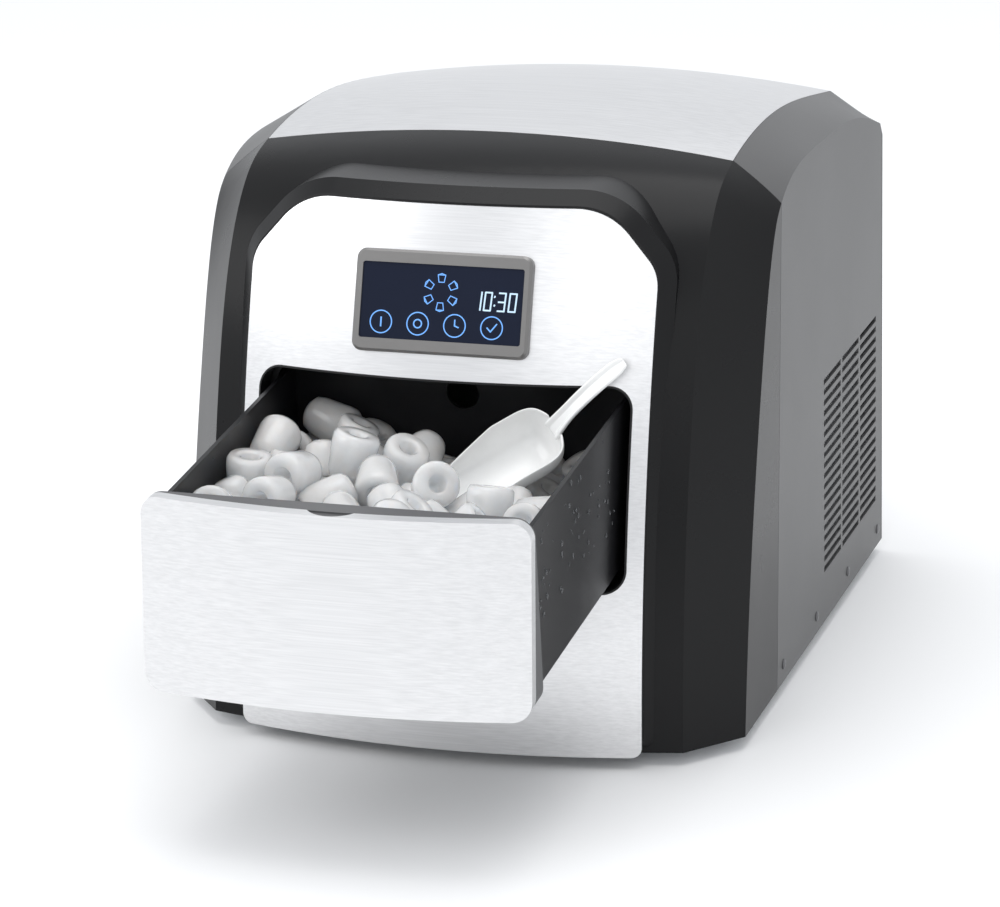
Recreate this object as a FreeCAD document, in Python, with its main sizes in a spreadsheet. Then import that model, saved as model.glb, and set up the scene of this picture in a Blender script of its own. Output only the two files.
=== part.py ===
"""Countertop ice maker with a pull-out ice drawer, as a parametric FreeCAD document.

Millimetres. +Z is up, the drawer opens towards -Y, +X is the user's right. The origin is on the
worktop, under the middle of the machine's outline with the drawer pulled out.
"""
import FreeCAD, Part

import math
import os

from FreeCAD import Placement, Rotation, Vector

doc = FreeCAD.newDocument("ice_maker")
sheet = doc.addObject("Spreadsheet::Sheet", "dims")
nodes = []

DIMENSIONS = {
    # cabinet
    "half_width": 175, "half_crown": 146, "shell_wall": 2, "base_level": 8, "rear_face": 298,
    "seam_low": 4, "seam_high": 23, "seam_gap": 0.5, "foot_radius": 12, "foot_inset": 140,
    "foot_front": -62, "foot_rear": 262,
    # front plate
    "plate_half": 124, "plate_bottom": 7, "plate_top": 320.5, "plate_diag_x": 93.5,
    "plate_diag_z": 286, "plate_sheet": 1.2, "plate_bow": 15, "plate_shoulder": 24,
    "plate_round": 42, "ledge": 8.5, "ledge_wall": 3,
    # drawer opening in the front plate
    "mouth_half": 114.5, "mouth_bottom": 105, "mouth_top": 224, "mouth_corner": 14,
    "trim_wall": 1.1, "trim_back": -70, "stop_half": 109.5, "stop_depth": 3,
    # drawer, in its own sloping frame
    "slope": 4.5, "drawer_y": -286, "drawer_z": 101.8, "box_half": 107.5, "box_front": 16,
    "box_back": 240, "box_tall": 94, "box_wall": 2.5, "front_half": 112.4, "front_low": -7.5,
    "front_high": 103, "front_lean": 8, "front_bow": 11, "front_mid_y": -9, "front_mid_z": 48,
    "front_sheet": 1, "front_corner": 11, "runner_mid": 100, "runner_wide": 6, "runner_tall": 5,
    "hole_level": 82.5, "hole_radius": 10,
    # ice bay, guides and water tank
    "bay_half": 115, "bay_wall": 3, "bay_floor": 104, "bay_top": 233, "bay_front": -70,
    "bay_back": 150, "guide_inner": 7.5, "guide_outer": 6, "guide_gap": 0.4,
    "tank_half": 104, "tank_top": 104,
    "tank_front": -62, "tank_back": 140, "tank_wall": 3,
    # display
    "window_half": 50, "window_tall": 46, "frame_half": 53.5, "frame_tall": 60,
    "frame_proud": 3, "display_level": 266.5,
    # freezing unit
    "tray_half": 92, "tray_front": 38, "tray_back": 100, "tray_low": 270, "tray_high": 302,
    "tray_wall": 2, "plate_level": 310, "finger_radius": 6, "finger_length": 34,
    "finger_pitch": 30, "finger_row_a": 54, "finger_row_b": 78,
    # cooling unit
    "gland_z": 42, "comp_x": -88, "comp_y": 222, "comp_radius": 56, "comp_low": 30, "comp_tall": 120,
    "scoop_wide": 41, "scoop_deep": 25, "scoop_long": 76,
    "fan_y": 208, "fan_z": 106, "fan_radius": 58, "louvre_pitch": 6.85, "louvre_tall": 3.6,
    "louvre_long": 46.5, "louvre_column": 51, "louvre_y": 130, "louvre_z": 41,
}
for row, (alias, value) in enumerate(DIMENSIONS.items(), start=1):
    sheet.set("A%d" % row, alias)
    sheet.set("B%d" % row, str(value))
    sheet.setAlias("B%d" % row, alias)
doc.recompute()


def size(alias):
    """A driving dimension, read back from the sheet."""
    return float(sheet.get(alias))


def keep(obj, name):
    """Marks an object as a finished sub-part under its node name."""
    obj.Label = name
    nodes.append(obj)
    return obj


def primitive(kind, name, sizes, place=("0", "0", "0"), turn=None):
    """A Part primitive whose sizes and place are expressions on the sheet."""
    obj = doc.addObject("Part::" + kind, name)
    if turn:
        obj.Placement = Placement(Vector(), Rotation(Vector(*turn[0]), turn[1]))
    for prop, text in sizes.items():
        obj.setExpression(prop, text)
    for axis, text in zip("xyz", place):
        obj.setExpression("Placement.Base." + axis, text)
    return obj


def block(name, x, y, z):
    """A box between two expressions on each axis."""
    spans = (x, y, z)
    sizes = {p: "(%s) - (%s)" % (s[1], s[0]) for p, s in zip(("Length", "Width", "Height"), spans)}
    return primitive("Box", name, sizes, tuple(s[0] for s in spans))


ALONG = {"x": ((0, 1, 0), 90), "y": ((1, 0, 0), -90), "z": ((0, 0, 1), 0)}


def rod(name, along, radius, length, place):
    """A cylinder along one axis, from its start point."""
    return primitive("Cylinder", name, {"Radius": radius, "Height": length}, place, ALONG[along])


def cut(name, base, *tools):
    obj = doc.addObject("Part::Cut", name)
    obj.Base = base
    obj.Tool = tools[0] if len(tools) == 1 else fuse(name + "_tools", *tools)
    return obj


def fuse(name, *shapes):
    obj = doc.addObject("Part::MultiFuse", name)
    obj.Shapes = list(shapes)
    return obj


def group(name, *shapes):
    """Separate solids that share one node."""
    obj = doc.addObject("Part::Compound", name)
    obj.Links = list(shapes)
    return obj


def feature(name, shape, place=None):
    obj = doc.addObject("Part::Feature", name)
    obj.Shape = shape
    if place:
        obj.Placement = place
    return obj


# ---------------------------------------------------------------- shared surfaces of the cabinet

# Side outlines (y, z) of the cabinet: down the middle, along the edge of the crowned top, and at
# the flat side. The crown and the bowed front come from lofting between them.
MIDDLE = [(-125, 8), (-112, 140), (-99, 206), (-79, 262), (-49, 305), (-20, 330), (23, 343),
          (120, 349), (211, 341), (274, 329)]
CROWN_EDGE = [(-107, 8), (-93, 140), (-77, 206), (-59, 258), (-34, 300), (-6, 323.5), (23, 332),
              (121, 338.5), (211, 328.5), (274, 318)]
FLAT_SIDE = [(-73.5, 8), (-49, 140), (-30, 206), (-12, 258), (4, 290), (12, 300), (23, 308),
             (121, 321), (211, 315), (257, 305)]
SHOULDERS = {"middle": [(291, 318), (298, 300)], "crown": [(291, 307), (298, 290)],
             "side": [(291, 294), (298, 285)]}


def inset_line(points, depth):
    """The points moved inwards by depth, square to the line that they make."""
    moved = []
    for i, (y, z) in enumerate(points):
        before, after = points[max(i - 1, 0)], points[min(i + 1, len(points) - 1)]
        dy, dz = after[0] - before[0], after[1] - before[1]
        run = math.hypot(dy, dz)
        moved.append((y + depth * dz / run, z - depth * dy / run))
    return moved


def side_section(x, curve, shoulder, depth, floor):
    """One closed outline of the cabinet at a station x, inset by depth."""
    line = inset_line(curve + shoulder, depth)
    line[0] = (line[0][0], floor)
    at = [Vector(x, y, z) for y, z in line]
    spline = Part.BSplineCurve()
    spline.interpolate(at[:len(curve)])
    rear = size("rear_face") - depth
    corners = [at[len(curve) - 1], at[-2], Vector(x, rear, at[-1].z), Vector(x, rear, floor), at[0]]
    edges = [spline.toShape()]
    edges += [Part.LineSegment(a, b).toShape() for a, b in zip(corners, corners[1:])]
    return Part.Wire(edges)


def cabinet_solid(depth, floor):
    """The whole cabinet's outer form, inset by depth."""
    half, crown = size("half_width") - depth, size("half_crown") - depth * 0.4

    def section(x, curve, key):
        return side_section(x, curve, SHOULDERS[key], depth, floor)

    solid = Part.makeLoft([section(-crown, CROWN_EDGE, "crown"), section(0, MIDDLE, "middle"),
                           section(crown, CROWN_EDGE, "crown")], True, False)
    for sign in (-1, 1):
        band = [section(sign * crown, CROWN_EDGE, "crown"), section(sign * half, FLAT_SIDE, "side")]
        solid = solid.fuse(Part.makeLoft(band, True, True))
    return solid.removeSplitter()


def along_y(solid, low=-1000, high=1000):
    """The edges of a prism that run along Y, between two heights."""
    return [e for e in solid.Edges if abs(abs(e.tangentAt(e.FirstParameter).y) - 1) < 1e-6
            and low < e.CenterOfMass.z < high]


def prism_y(points, y0, y1, radius=0):
    """A prism along Y over an outline in X and Z, its edges along Y rounded."""
    outline = [Vector(x, y0, z) for x, z in points]
    solid = Part.Face(Part.makePolygon(outline + outline[:1])).extrude(Vector(0, y1 - y0, 0))
    return solid.makeFillet(radius, along_y(solid)) if radius else solid


def prism_x(points, x0, x1):
    """A prism along X over an outline in Y and Z."""
    outline = [Vector(x0, y, z) for y, z in points]
    return Part.Face(Part.makePolygon(outline + outline[:1])).extrude(Vector(x1 - x0, 0, 0))


# The front plate's upright curve is one arc: its foot, its middle and its top, as (y, z).
PLATE_ARC = Part.Arc(Vector(0, -133, 8), Vector(0, -114.5, 165), Vector(0, -68, 320)).toShape().Curve


def plate_y(z, x=0):
    """The front plate's surface at a height and a distance from the middle."""
    centre, radius = PLATE_ARC.Center, PLATE_ARC.Radius
    bow = size("plate_bow") * (x / size("plate_half")) ** 2
    return centre.y - math.sqrt(radius ** 2 - (z - centre.z) ** 2) + bow


def behind_plate(depth):
    """Everything behind the front plate's surface, set back by depth."""
    sections = []
    for x in (-140, -70, 0, 70, 140):
        foot, middle, head = (Vector(x, plate_y(z, x) + depth, z) for z in (-10, 165, 345))
        arc = Part.Arc(foot, middle, head).toShape()
        back = [head, Vector(x, 60, 345), Vector(x, 60, -10), foot]
        lines = [Part.LineSegment(a, b).toShape() for a, b in zip(back, back[1:])]
        sections.append(Part.Wire([arc] + lines))
    return Part.makeLoft(sections, True, False)


def plate_outline(grow, bottom):
    """The front plate's outline with its two cut-off upper corners, grown all round."""
    half, top = size("plate_half") + grow, size("plate_top") + grow
    diag_x, diag_z = size("plate_diag_x") + grow * 0.45, size("plate_diag_z") + grow * 0.4
    return [(-half, bottom), (half, bottom), (half, diag_z), (diag_x, top), (-diag_x, top),
            (-half, diag_z)]


def plate_prism(grow, bottom, foot_radius):
    """The plate's outline as a prism: small round corners at its foot, wide ones at its top."""
    prism = prism_y(plate_outline(grow, bottom), -200, 80)
    prism = prism.makeFillet(foot_radius, along_y(prism, -100, 100))
    prism = prism.makeFillet(size("plate_shoulder") + grow, along_y(prism, 150, size("plate_top") - 5))
    return prism.makeFillet(size("plate_round") + grow, along_y(prism, size("plate_top") - 5, 1000))


def mouth_outline(inset):
    half, low, high = size("mouth_half") - inset, size("mouth_bottom") + inset, size("mouth_top") - inset
    return [(-half, low), (half, low), (half, high), (-half, high)]


OUTER = cabinet_solid(0, size("base_level"))
INNER = cabinet_solid(size("shell_wall"), size("base_level") - 5)
SHELL = OUTER.cut(INNER)
FAR = 400


def seam_block(gap):
    """The space in front of the seam between the front moulding and the sheet-metal wrap."""
    low, high = size("seam_low") - gap, size("seam_high") - gap
    return prism_x([(-FAR, -10), (low, -10), (high, 310), (high, FAR), (-FAR, FAR)], -FAR, FAR)


# ---------------------------------------------------------------------------- front of the cabinet

def display_place():
    """The display leans with the front plate: its own frame sits at the middle of the window."""
    level = size("display_level")
    lean = math.degrees(math.asin((level - PLATE_ARC.Center.z) / PLATE_ARC.Radius))
    turn = Rotation(Vector(1, 0, 0), -lean)
    return Placement(Vector(0, plate_y(level), level), turn)


def display_slab(half, tall, front, back, radius):
    """A rounded slab in the display's frame: front and back are depths behind the plate."""
    slab = prism_y([(-half, -tall / 2), (half, -tall / 2), (half, tall / 2), (-half, tall / 2)],
                   front, back, radius)
    slab.Placement = display_place()
    return slab


def front_bezel():
    """The moulded front: bowed face, chamfered sides and the raised frame round the steel plate."""
    sheet_back = size("plate_sheet")
    rim = plate_prism(size("ledge"), size("base_level"), 10)
    block_in = behind_plate(sheet_back)
    platform = rim.common(block_in)
    face_edges = []
    for edge in platform.Edges:
        middle = edge.valueAt((edge.FirstParameter + edge.LastParameter) / 2)
        on_face = abs(middle.y - plate_y(middle.z, middle.x) - sheet_back) < 0.6
        if on_face and middle.z > size("base_level") + 1:
            face_edges.append(edge)
    platform = platform.makeChamfer(size("ledge") - 0.6, face_edges)
    wall = size("ledge_wall")
    hollow = plate_prism(size("ledge") - wall, size("base_level") - 5, 8)
    hollow = hollow.common(behind_plate(sheet_back + wall + 4))
    front = SHELL.common(seam_block(size("seam_gap")))
    moulding = front.cut(hollow).fuse(platform.cut(hollow).cut(INNER))
    moulding = moulding.cut(prism_y(mouth_outline(0), -200, 0, size("mouth_corner")))
    moulding = moulding.cut(display_slab(size("window_half") + 1, size("window_tall") + 2, -20, 40, 3))
    return keep(feature("front_bezel", moulding), "front_bezel")


def front_plate():
    """The brushed steel face plate, one bowed sheet with the drawer mouth and display window."""
    sheet_metal = behind_plate(0).cut(behind_plate(size("plate_sheet")))
    plate = plate_prism(0, size("plate_bottom"), 6).common(sheet_metal)
    plate = plate.cut(prism_y(mouth_outline(0), -200, 0, size("mouth_corner")))
    plate = plate.cut(display_slab(size("window_half") + 1, size("window_tall") + 2, -20, 40, 3))
    return keep(feature("front_plate", plate), "front_plate")


def drawer_trim():
    """The black liner of the drawer mouth, with the inner lip that the drawer front closes on."""
    wall, back = size("trim_wall"), size("trim_back")
    outer = prism_y(mouth_outline(0.05), -200, back, size("mouth_corner"))
    inner = prism_y(mouth_outline(wall), -200, back - size("stop_depth"), size("mouth_corner") - wall)
    lip = size("mouth_half") - size("stop_half")
    throat = prism_y(mouth_outline(lip), -200, back, 9)
    liner = outer.cut(inner).cut(throat).common(behind_plate(-0.6))
    return keep(feature("drawer_trim", liner), "drawer_trim")


def display():
    """The display: moulded surround, dark window, the lamp module behind it and its board."""
    half, tall, proud = size("window_half"), size("window_tall"), size("frame_proud")
    surround = prism_y([(-size("frame_half"), -size("frame_tall") / 2),
                        (size("frame_half"), -size("frame_tall") / 2),
                        (size("frame_half"), size("frame_tall") / 2),
                        (-size("frame_half"), size("frame_tall") / 2)], -proud, 5, 6)
    rim = [e for e in surround.Edges if abs(e.CenterOfMass.y + proud) < 1e-6]
    surround = surround.makeChamfer(1.6, rim)
    surround.Placement = display_place()
    collar = display_slab(half + 1, tall + 2, 1, 12, 3)
    opening = display_slab(half - 0.8, tall - 1.6, -20, 20, 1.5)
    pocket = display_slab(half + 0.05, tall + 0.1, -proud + 0.8, -proud + 3, 2)
    surround = surround.common(in_front(behind_plate(0))).fuse(collar)
    surround = surround.cut(opening).cut(pocket)
    keep(feature("display_surround", surround), "display_surround")
    keep(feature("display_window", display_slab(half, tall, -proud + 0.8, -proud + 2.9, 2)),
         "display_window")
    keep(feature("display_module", display_slab(half - 1.4, tall - 3, 0.5, 12, 1)),
         "display_module")
    keep(feature("control_board", display_slab(62, 60, 12, 13.6, 2)), "control_board")
    chips = [display_slab(7, 14, 13.6, 17, 0.5), display_slab(3.5, 7, 13.6, 16, 0.5)]
    chips[0].translate(Vector(-30, 0, 0))
    chips[1].translate(Vector(22, 0, 0))
    keep(feature("board_chips", Part.makeCompound(chips)), "board_chips")


def in_front(back_space):
    """All the space in front of the front plate, where the display surround stands proud."""
    room = Part.makeBox(2 * FAR, FAR, FAR, Vector(-FAR, 60 - FAR, 0))
    return room.cut(back_space)


# ------------------------------------------------------------------------------- cabinet wrap

# The side panels' screws stand in a row along their foot.
SCREW_Y = (21, 111, 197, 283)
SCREW_Z = 19.2


def louvres(x0, x1):
    """Three columns of level slots, as cutting blocks through a side panel."""
    slots = []
    for column in range(3):
        for line in range(19):
            corner = Vector(x0, size("louvre_y") + column * size("louvre_column"),
                            size("louvre_z") + line * size("louvre_pitch"))
            slots.append(Part.makeBox(x1 - x0, size("louvre_long"), size("louvre_tall"), corner))
    return Part.makeCompound(slots)


def cabinet_wrap():
    """The crowned steel top, the two folded side panels and the flat rear panel."""
    gap, crown = size("seam_gap"), size("half_crown")
    rear = size("rear_face") - size("shell_wall")
    wrap = SHELL.cut(seam_block(0))
    body = wrap.common(Part.makeBox(2 * FAR, FAR + rear - gap, FAR, Vector(-FAR, -FAR, 0)))
    top = body.common(Part.makeBox(2 * (crown - 0.3), 2 * FAR, FAR, Vector(0.3 - crown, -FAR, 270)))
    keep(feature("top_panel", top), "top_panel")
    for side, name in ((-1, "side_panel_left"), (1, "side_panel_right")):
        start = crown if side > 0 else -FAR
        panel = body.common(Part.makeBox(FAR - crown, 2 * FAR, FAR, Vector(start, -FAR, 0)))
        panel = panel.cut(louvres(*sorted((side * 165, side * 185))))
        for y in SCREW_Y:
            hole = Part.makeCylinder(1.6, 20, Vector(side * 165, y, SCREW_Z), Vector(side, 0, 0))
            panel = panel.cut(hole)
        keep(feature(name, panel), name)
    back = OUTER.common(Part.makeBox(2 * FAR, 20, FAR, Vector(-FAR, rear, 0)))
    for column in range(4):
        for line in range(14):
            corner = Vector(-140 + column * 30, rear - 5, 62 + line * 9)
            back = back.cut(Part.makeBox(24, 20, 4, corner))
    back = back.cut(Part.makeCylinder(9, 20, Vector(-130, rear - 5, size("gland_z")), Vector(0, 1, 0)))
    back = back.cut(Part.makeCylinder(11, 20, Vector(60, rear - 5, 40), Vector(0, 1, 0)))
    keep(feature("rear_panel", back), "rear_panel")


def side_screws():
    """Four pan-head screws along the foot of each side panel."""
    for side, name in ((-1, "screws_left"), (1, "screws_right")):
        screws = []
        for y in SCREW_Y:
            face = side * size("half_width")
            shank = Part.makeCylinder(1.5, 8, Vector(face - side * 7.5, y, SCREW_Z),
                                      Vector(side, 0, 0))
            head = Part.makeCylinder(3.2, 1.2, Vector(face, y, SCREW_Z), Vector(side, 0, 0))
            screws.append(shank.fuse(head))
        keep(feature(name, Part.makeCompound(screws)), name)


# --------------------------------------------------------------------------------- base and feet

def base():
    """The pressed base pan inside the foot of the cabinet, on four rubber feet."""
    level, wall = size("base_level"), size("shell_wall")
    inside = cabinet_solid(wall + 0.1, level - 5)
    pan = inside.common(Part.makeBox(2 * FAR, 2 * FAR, 1.5, Vector(-FAR, -FAR, level)))
    rim = inside.cut(cabinet_solid(wall + 1.6, level - 6))
    rim = rim.common(Part.makeBox(2 * FAR, 2 * FAR, 20, Vector(-FAR, -FAR, level)))
    rim = rim.cut(Part.makeBox(2 * FAR, FAR, FAR, Vector(-FAR, -FAR + 10, 0)))
    pan = pan.fuse(rim)
    for side in (-1, 1):
        for y in SCREW_Y:
            hole = Part.makeCylinder(1.5, 20, Vector(side * 160, y, SCREW_Z), Vector(side, 0, 0))
            pan = pan.cut(hole)
    keep(feature("base_pan", pan), "base_pan")
    for fb, y in (("front", "dims.foot_front"), ("rear", "dims.foot_rear")):
        for lr, x in (("left", "-dims.foot_inset"), ("right", "dims.foot_inset")):
            name = "foot_%s_%s" % (fb, lr)
            foot = primitive("Cone", name + "_pad",
                             {"Radius1": "dims.foot_radius", "Radius2": "dims.foot_radius + 2",
                              "Height": "dims.base_level"}, (x, y, "0"))
            keep(foot, name)


# ------------------------------------------------------------------------- drawer on its slope

def drawer_frame():
    turn = Rotation(Vector(1, 0, 0), size("slope"))
    return Placement(Vector(0, size("drawer_y"), size("drawer_z")), turn)


def drawer_front_solid(inset, depth, back):
    """The drawer front's rounded outline, inset, from a depth behind its bowed face to the back."""
    wide, low, high = 160, -40, 140
    lean = math.tan(math.radians(size("front_lean")))
    start = size("front_mid_y") + depth + (low - size("front_mid_z")) * lean
    sag = size("front_bow") * (wide / size("front_half")) ** 2
    left, middle = Vector(-wide, start + sag, low), Vector(0, start, low)
    right = Vector(wide, start + sag, low)
    rear = [right, Vector(wide, 90, low), Vector(-wide, 90, low), left]
    edges = [Part.Arc(left, middle, right).toShape()]
    edges += [Part.LineSegment(a, b).toShape() for a, b in zip(rear, rear[1:])]
    rise = high - low
    behind = Part.Face(Part.Wire(edges)).extrude(Vector(0, rise * lean, rise))
    half, foot, top = size("front_half") - inset, size("front_low") + inset, size("front_high") - inset
    outline = prism_y([(-half, foot), (half, foot), (half, top), (-half, top)], -60, back,
                      size("front_corner") - inset)
    return outline.common(behind)


def drawer_front():
    """The drawer's steel skin, wrapped a little over the dark moulded front that carries it."""
    lap, sheet_metal, fit, wall = 7, size("front_sheet"), 0.03, 3
    back = size("box_front") + 1
    skin = drawer_front_solid(0, 0, 40).cut(drawer_front_solid(sheet_metal, sheet_metal, 50))
    skin = skin.cut(drawer_front_solid(-5, lap, 60))
    notch_y = size("front_mid_y") + (size("front_high") - size("front_mid_z")) \
        * math.tan(math.radians(size("front_lean"))) + 17.5
    notch = Part.makeCylinder(17, 40, Vector(0, notch_y, 85))
    skin = skin.cut(notch)
    keep(feature("drawer_front_skin", skin, drawer_frame()), "drawer_front_skin")

    core = drawer_front_solid(sheet_metal + fit, sheet_metal + fit, back)
    body = core.fuse(drawer_front_solid(0.2, lap + fit, back))
    body = body.cut(drawer_front_solid(sheet_metal + wall, sheet_metal + wall, back + 20))
    keep(feature("drawer_front_carrier", body, drawer_frame()), "drawer_front_carrier")


def drawer_box():
    """The black drawer tub: open top, drain holes in the floor, a round hole in the back wall."""
    half, front, back = size("box_half"), size("box_front") + 1, size("box_back")
    tall, wall = size("box_tall"), size("box_wall")
    tub = Part.makeBox(2 * half, back - front, tall, Vector(-half, front, 0))
    room = Part.makeBox(2 * (half - wall), back - front - 2 * wall, tall,
                        Vector(wall - half, front + wall, wall))
    tub = tub.cut(room)
    for column in range(5):
        for line in range(5):
            centre = Vector(-80 + column * 40, front + 30 + line * 42, -1)
            tub = tub.cut(Part.makeCylinder(3, 5, centre))
    finger = Part.makeCylinder(size("hole_radius"), 10, Vector(0, back - 6, size("hole_level")),
                               Vector(0, 1, 0))
    tub = tub.cut(finger)
    keep(feature("drawer_box", tub, drawer_frame()), "drawer_box")
    for side, name in ((-1, "runner_left"), (1, "runner_right")):
        strip = Part.makeBox(size("runner_wide"), back - front - 10, size("runner_tall"),
                             Vector(side * size("runner_mid") - size("runner_wide") / 2, front + 10,
                                    -size("runner_tall")))
        keep(feature(name, strip, drawer_frame()), name)


def ice_heap():
    """The ice that the drawer holds: a tall heap at the left, a low one at the right by the scoop."""
    half, front = size("box_half") - size("box_wall") - 0.8, size("box_front") + size("box_wall") + 2
    back = size("box_back") - size("box_wall") - 1
    low = size("box_wall") + 0.5
    left, right, shallow, crest_tall = half - 4, 1, 32, 56
    heap = Part.makeBox(2 * half, back - front, shallow, Vector(-half, front, low))
    crest = Part.makeBox(left + right, back - front - 30, crest_tall,
                         Vector(-left, front + 14, low + shallow))
    slope_edges = [e for e in crest.Edges if e.BoundBox.ZMin > low + 87]
    crest = crest.makeChamfer(14, slope_edges)
    keep(feature("ice_heap", heap.fuse(crest).removeSplitter(), drawer_frame()), "ice_heap")


# ----------------------------------------------------------------------------------- ice scoop

def scoop_frame():
    """The scoop lies on the ice at the right, rolled over, its handle towards the right wall."""
    turn = Rotation(Vector(0, 0, 1), -36) * Rotation(Vector(0, 1, 0), 35) * Rotation(Vector(1, 0, 0), 29)
    return Placement(Vector(71, -92, 188), turn)


def scoop():
    """The scoop: a round-bottomed bowl open at the front, with a raised handle."""
    wall, half_wide = 1.6, size("scoop_wide") / 2
    deep, long_side = size("scoop_deep"), size("scoop_long")

    def trough(inset):
        half, low = half_wide - inset, inset
        mouth = Part.makePolygon([Vector(-half, 0, deep + 2), Vector(-half, 0, deep * 0.42),
                                  Vector(-half * 0.55, 0, low), Vector(half * 0.55, 0, low),
                                  Vector(half, 0, deep * 0.42), Vector(half, 0, deep + 2),
                                  Vector(-half, 0, deep + 2)])
        solid = Part.Face(mouth).extrude(Vector(0, -long_side, 0))
        edges = [e for e in solid.Edges if abs(abs(e.tangentAt(e.FirstParameter).y) - 1) < 1e-6
                 and e.BoundBox.ZMax < deep]
        return solid.makeFillet(7 - inset, edges)

    bowl = trough(0)
    room = trough(wall)
    room.translate(Vector(0, -wall, 0))
    bowl = bowl.cut(room)
    rake = prism_x([(-long_side - 5, -20), (-long_side, 5), (-long_side + 27, deep), (2, deep + 1),
                    (2, deep + 30), (-long_side - 5, deep + 30)], -60, 60)
    bowl = bowl.cut(rake)
    start, bend, end = Vector(0, -2, deep - 8), Vector(0, 20, deep + 10), Vector(0, 49, deep + 23)
    spine = Part.Wire([Part.Arc(start, bend, end).toShape()])
    edge = spine.Edges[0]
    across, along = Vector(1, 0, 0), edge.tangentAt(edge.FirstParameter)
    up = across.cross(along)
    half_strap, half_thick = across * 5.5, up * 2.6
    corners = [start + half_strap * i + half_thick * j for i, j in ((-1, -1), (1, -1), (1, 1), (-1, 1))]
    section = Part.makePolygon(corners + corners[:1])
    handle = spine.makePipeShell([section], True, True)
    handle = Part.Solid(handle) if not handle.Solids else handle
    handle = handle.cut(room)
    keep(feature("ice_scoop", bowl.fuse(handle), scoop_frame()), "ice_scoop")


# ------------------------------------------------------------------- ice bay, guides, water tank

def ice_bay():
    """The moulded bay that the drawer slides into, open at the top where the ice falls in."""
    shell = block("bay_shell", ("-dims.bay_half", "dims.bay_half"), ("dims.bay_front", "dims.bay_back"),
                  ("dims.bay_floor", "dims.bay_top"))
    room = block("bay_room", ("dims.bay_wall - dims.bay_half", "dims.bay_half - dims.bay_wall"),
                 ("dims.bay_front - 5", "dims.bay_back - dims.bay_wall"),
                 ("dims.bay_floor + dims.bay_wall", "dims.bay_top + 5"))
    drain = rod("bay_drain", "z", "8 mm", "20 mm", ("0", "20", "dims.bay_floor - 5"))
    keep(cut("ice_bay", shell, room, drain), "ice_bay")


def guides():
    """Two sloping rails on the bay's floor, each grooved for a runner of the drawer."""
    slope = math.tan(math.radians(size("slope")))
    floor = size("bay_floor") + size("bay_wall")
    start, end = size("bay_front") + 2, size("bay_back") - size("bay_wall")

    def line(y, drop):
        return size("drawer_z") + (y - size("drawer_y")) * slope - drop / math.cos(math.atan(slope))

    groove_half = size("runner_wide") / 2 + size("guide_gap")
    drop = size("runner_tall") + size("guide_gap")
    for side, name in ((-1, "guide_left"), (1, "guide_right")):
        mid = side * size("runner_mid")
        rail = prism_x([(start, floor), (end, floor), (end, line(end, 0.6)), (start, line(start, 0.6))],
                       mid - side * size("guide_inner"), mid + side * size("guide_outer"))
        groove = prism_x([(start - 1, line(start - 1, drop)), (end + 1, line(end + 1, drop)),
                          (end + 1, line(end + 1, -5)), (start - 1, line(start - 1, -5))],
                         mid - groove_half, mid + groove_half)
        keep(feature(name, rail.cut(groove)), name)


def water_tank():
    """The water tank under the bay, with its pump and the drain spout at the back."""
    shell = block("tank_shell", ("-dims.tank_half", "dims.tank_half"),
                  ("dims.tank_front", "dims.tank_back"), ("dims.base_level + 6", "dims.tank_top"))
    room = block("tank_room", ("dims.tank_wall - dims.tank_half", "dims.tank_half - dims.tank_wall"),
                 ("dims.tank_front + dims.tank_wall", "dims.tank_back - dims.tank_wall"),
                 ("dims.base_level + 9", "dims.tank_top + 5"))
    keep(cut("water_tank", shell, room), "water_tank")
    legs = [block("tank_leg_%d" % i, (x, x + " + 12"), (y, y + " + 12"),
                  ("dims.base_level + 1.5", "dims.base_level + 6"))
            for i, (x, y) in enumerate((("-90", "-50"), ("78", "-50"), ("-90", "116"), ("78", "116")))]
    keep(group("tank_feet", *legs), "tank_feet")
    pump = rod("pump_case", "z", "17 mm", "38 mm", ("60", "95", "dims.base_level + 9"))
    spout = rod("pump_spout", "z", "4 mm", "8 mm", ("60", "95", "dims.base_level + 47"))
    keep(fuse("water_pump", pump, spout), "water_pump")
    tube = rod("drain_tube_out", "y", "6 mm", "dims.rear_face - 2 - dims.tank_back",
               ("60", "dims.tank_back", "40"))
    bore = rod("drain_tube_in", "y", "4 mm", "200 mm", ("60", "dims.tank_back - 2", "40"))
    keep(cut("drain_tube", tube, bore), "drain_tube")


def drain_cap():
    """The screw cap that closes the drain at the rear panel."""
    head = rod("cap_head", "y", "10 mm", "4 mm", ("60", "dims.rear_face - 2", "40"))
    stem = rod("cap_stem", "y", "3.95 mm", "8 mm", ("60", "dims.rear_face - 10", "40"))
    slot = block("cap_slot", ("52", "68"), ("dims.rear_face + 0.8", "dims.rear_face + 5"), ("39", "41"))
    keep(cut("drain_cap", fuse("cap_body", head, stem), slot), "drain_cap")


def cord_gland():
    """The rubber bush where the mains lead enters; the lead itself isn't part of the model."""
    flange = rod("gland_flange", "y", "12 mm", "4 mm", ("-130", "dims.rear_face", "dims.gland_z"))
    barrel = rod("gland_barrel", "y", "8.9 mm", "8 mm", ("-130", "dims.rear_face - 6", "dims.gland_z"))
    hole = rod("gland_hole", "y", "4 mm", "30 mm", ("-130", "dims.rear_face - 10", "dims.gland_z"))
    keep(cut("cord_gland", fuse("gland_body", flange, barrel), hole), "cord_gland")


# ------------------------------------------------------------------------------- freezing unit

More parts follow.
